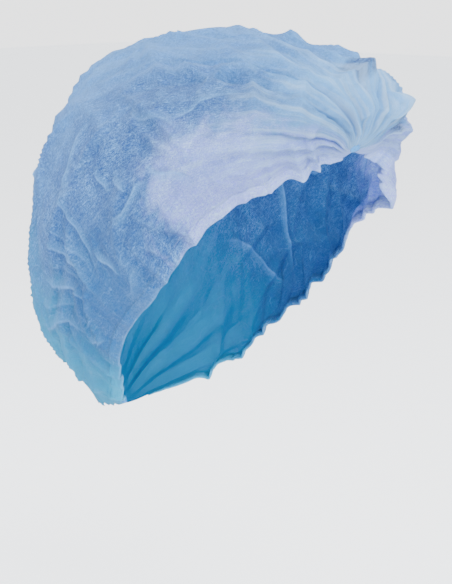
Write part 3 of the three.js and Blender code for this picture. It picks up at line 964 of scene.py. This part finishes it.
def rubber_band():
    """White band with ribs along its length."""
    finish = Finish("elastic_band")
    place = finish.node("ShaderNodeUVMap", {"uv_map": "cloth"})
    ribs = finish.node(
        "ShaderNodeTexWave",
        {"bands_direction": "X"},
        {"Vector": place, "Scale": RIBS_PER_METRE, "Distortion": 0.4},
    )
    tone = finish.mix(ribs * RIB_TONE, ELASTIC_WHITE, SKY)
    normal = finish.node("ShaderNodeBump", {}, {"Strength": 0.5, "Distance": 0.0003, "Height": ribs})
    sockets = {"Base Color": tone, "Roughness": BAND_ROUGH + RIB_ROUGH * ribs, "Normal": normal}
    finish.surface(finish.node("ShaderNodeBsdfPrincipled", {}, sockets))
    return finish.material


band = rubber_band()
for side, name in ((-1, "elastic_right"), (1, "elastic_left")):
    turn = np.linspace(0, 2 * np.pi, ELASTIC_STEPS, endpoint=False)
    outline = np.stack(
        [
            ELASTIC_UP + ELASTIC_WIDE / 2 * rounded(np.cos(turn), ELASTIC_ROUND),
            ELASTIC_IN + ELASTIC_THICK / 2 * rounded(np.sin(turn), ELASTIC_ROUND),
        ],
        axis=-1,
    ) / MILLIMETRES
    line = hem_line(side)
    points = carried(line, outline)
    run = np.hstack([0, np.cumsum(np.linalg.norm(np.diff(line[0], axis=0), axis=-1))])
    uv = np.stack(np.broadcast_arrays(outline[None, :, 0], run[:, None]), axis=-1)
    rows, columns = points.shape[:2]
    faces = grid_faces(rows, columns, closed=True).tolist()
    faces.append(list(range(columns)))
    faces.append(list(range(rows * columns - 1, (rows - 1) * columns - 1, -1)))
    turned = [face[::-1] for face in faces]
    piece = add_piece(name + "_band", points, turned if side < 0 else faces, uv)
    piece.data.materials.append(band)
    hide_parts(name)
    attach(piece, "root")

# The welds: the stacked ends of the pleats are fused by an ultrasonic tool, which leaves a stiff tab with a
# pattern of pressed dots. The front one is short, and the nape's is a narrow blade.
WELD_BLUE = colour(20, 128, 196)
WELD_ROUND = 0.45
WELD_HIGH = 0.46
WELD_RIBS = 7
WELD_RIB_DEPTH = 0.14
WELD_TURNS = 96
WELD_TILTS = 33
DOTS_PER_METRE = 900
DOT_CHANCE = 0.2
DOT_RAMP = (0.42, 0.25)
WELD_GRAIN = 700
PRESSED_TONE, WELD_GRAIN_TONE = 0.6, 0.2
WELD_GRAIN_HEIGHT = 0.3
WELD_ROUGH, PRESSED_SMOOTH = 0.5, 0.15


def weld_tab(at, wide, thick, shift):
    """A rounded block along the end section at that place, shifted across its plane: powers of sines and
    cosines give its rounded sides, and a cosine across it gives the edges of the pressed pleats."""
    points, _ = half_sections(np.array([at]))
    foot, top = points[0, 0] * [0, 1, 1], points[0, -1]
    height = np.linalg.norm(top - foot)
    up = (top - foot) / height
    side = np.array([1.0, 0.0, 0.0])
    through = np.cross(side, up)
    turn = np.linspace(0, 2 * np.pi, WELD_TURNS, endpoint=False)[None, :]
    tilt = np.linspace(-np.pi / 2, np.pi / 2, WELD_TILTS)[:, None]
    around = rounded(np.cos(tilt), WELD_ROUND)
    x = wide / 2 * around * rounded(np.cos(turn), WELD_ROUND)
    y = WELD_HIGH * height * around * rounded(np.sin(turn), WELD_ROUND)
    ribs = 1 + WELD_RIB_DEPTH * np.cos(2 * np.pi * WELD_RIBS * x / wide)
    z = thick / 2 * rounded(np.sin(tilt), WELD_ROUND) * ribs
    centre = foot + up * height / 2 + through * shift
    return centre + x[..., None] * side + y[..., None] * up + z[..., None] * through


def pressed_weld():
    """Fused cloth: a little glossy, deeper blue in the pressed dots."""
    finish = Finish("pressed_weld")
    around = finish.node("ShaderNodeTexCoord", output=3)
    sockets = {"Vector": around, "Scale": DOTS_PER_METRE, "Randomness": DOT_CHANCE}
    pressed = finish.ramp(finish.node("ShaderNodeTexVoronoi", {}, sockets), *DOT_RAMP)
    grain = finish.noise(around, WELD_GRAIN, detail=4)
    tone = finish.mix(pressed * PRESSED_TONE + grain * WELD_GRAIN_TONE, WELD_BLUE, DEEP_BLUE)
    height = grain * WELD_GRAIN_HEIGHT - pressed
    normal = finish.node("ShaderNodeBump", {}, {"Strength": 0.6, "Distance": 0.0004, "Height": height})
    sockets = {"Base Color": tone, "Roughness": WELD_ROUGH - PRESSED_SMOOTH * pressed, "Normal": normal}
    finish.surface(finish.node("ShaderNodeBsdfPrincipled", {}, sockets))
    return finish.material


fused = pressed_weld()

# Columns: name, place along the cloth, width, thickness, and the shift across the section, in metres.
for name, at, wide, thick, shift in (
    ("front_weld", 0.0, 0.0085, 0.0030, -0.0018),
    ("nape_weld", 1.0, 0.0068, 0.0042, 0.0012),
):
    points = weld_tab(at, wide, thick, shift)
    piece = add_piece(name + "_tab", points, grid_faces(*points.shape[:2], closed=True))
    piece.data.materials.append(fused)
    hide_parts(name)
    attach(piece, "root")

# The setting: a pale floor well below the cap, which stays up at the height where it is worn, and soft
# studio light from large panels.
FLOOR_LEVEL = -0.27
FLOOR_HALF = 6.0
FLOOR_WHITE = colour(244, 246, 248)
FLOOR_SPECKS = 40
FLOOR_SPECK_TONE = 0.05
STUDIO_WHITE = colour(250, 251, 253)
STUDIO_STRENGTH = 2.7
PANEL_TARGET = (0, 0, 0.03)

floor_corners = np.array([[-1, -1, 0], [1, -1, 0], [1, 1, 0], [-1, 1, 0]]) * FLOOR_HALF
floor = add_piece("floor", floor_corners + [0, 0, FLOOR_LEVEL], np.array([[0, 1, 2, 3]]))
floor_finish = Finish("pale_floor")
floor_speck = floor_finish.noise(floor_finish.node("ShaderNodeTexCoord", output=3), FLOOR_SPECKS)
floor_tone = floor_finish.mix(floor_speck * FLOOR_SPECK_TONE, FLOOR_WHITE, SKY)
floor_finish.surface(
    floor_finish.node("ShaderNodeBsdfPrincipled", {}, {"Base Color": floor_tone, "Roughness": 0.85})
)
floor.data.materials.append(floor_finish.material)

world = bpy.data.worlds.new("studio")
world.use_nodes = True
world.node_tree.nodes["Background"].inputs["Color"].default_value = STUDIO_WHITE
world.node_tree.nodes["Background"].inputs["Strength"].default_value = STUDIO_STRENGTH
bpy.context.scene.world = world


def looking(place, target):
    """The turn of a lamp or camera at a place, so that its -Z points at the target."""
    return (Vector(target) - Vector(place)).to_track_quat("-Z", "Y").to_euler()


# Columns: name, place, side of the panel, watts.
for name, place, size, power in (
    ("key_panel", (-0.9, -1.5, 1.5), 1.2, 62),
    ("fill_panel", (1.6, -0.9, 0.7), 1.4, 16),
    ("low_panel", (-0.72, -0.98, -0.14), 0.8, 7),
    ("top_panel", (-0.2, 0.6, 1.7), 1.2, 36),
):
    panel = bpy.data.lights.new(name, "AREA")
    panel.size = size
    panel.energy = power
    lamp = bpy.data.objects.new(name, panel)
    lamp.location = place
    lamp.rotation_euler = looking(place, PANEL_TARGET)
    bpy.context.scene.collection.objects.link(lamp)

# The camera: a long lens, turned and raised as in the photograph, with the cap left of and above the
# middle of the frame.
CAMERA_TURN = math.radians(-48)
CAMERA_RISE = math.radians(9)
CAMERA_FAR = 1.3
CAMERA_LENS = 139.4
CAMERA_ASIDE = 0.0023
CAMERA_BELOW = 0.0149

backwards = np.array([
    math.sin(CAMERA_TURN) * math.cos(CAMERA_RISE),
    -math.cos(CAMERA_TURN) * math.cos(CAMERA_RISE),
    math.sin(CAMERA_RISE),
])
rightwards = np.array([math.cos(CAMERA_TURN), math.sin(CAMERA_TURN), 0.0])
upwards = np.cross(backwards, rightwards)
camera = bpy.data.objects.new("camera", bpy.data.cameras.new("camera"))
camera.data.lens = CAMERA_LENS
camera.location = CAMERA_FAR * backwards + CAMERA_ASIDE * rightwards - CAMERA_BELOW * upwards
camera.rotation_euler = looking(camera.location, camera.location - Vector(backwards))
bpy.context.scene.collection.objects.link(camera)
bpy.context.scene.camera = camera

bpy.context.view_layer.update()
